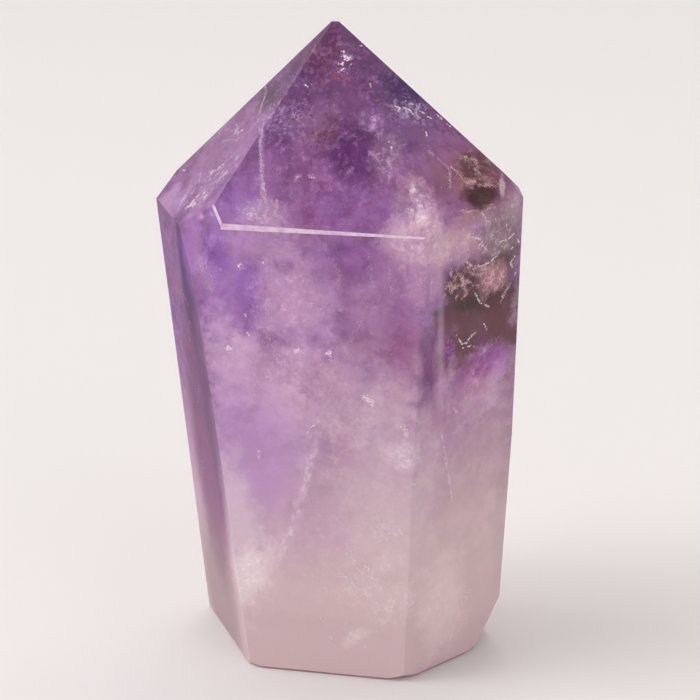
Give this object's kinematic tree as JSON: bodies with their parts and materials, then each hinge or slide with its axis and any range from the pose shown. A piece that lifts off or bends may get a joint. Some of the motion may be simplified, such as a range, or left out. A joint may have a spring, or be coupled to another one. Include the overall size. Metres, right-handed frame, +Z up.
{
  "type": "ametrine point",
  "caption": "Polished ametrine quartz point: a flat footed, six sided crystal tower shading from violet at the tip to pale smoky rose at the foot.",
  "frame": {"origin": "a point near the middle of the flat foot, on the resting face", "axes": "+Z up along the crystal towards its tip, -Y out of the wide front face, +X to the right of that face"},
  "size_m": [0.0414, 0.0288, 0.075],
  "materials": {
    "ametrine": "polished clear to cloudy quartz, violet at the tip, pale rose grey at the foot"
  },
  "bodies": {
    "root": {"ametrine_point": "ametrine"}
  },
  "joints": []
}
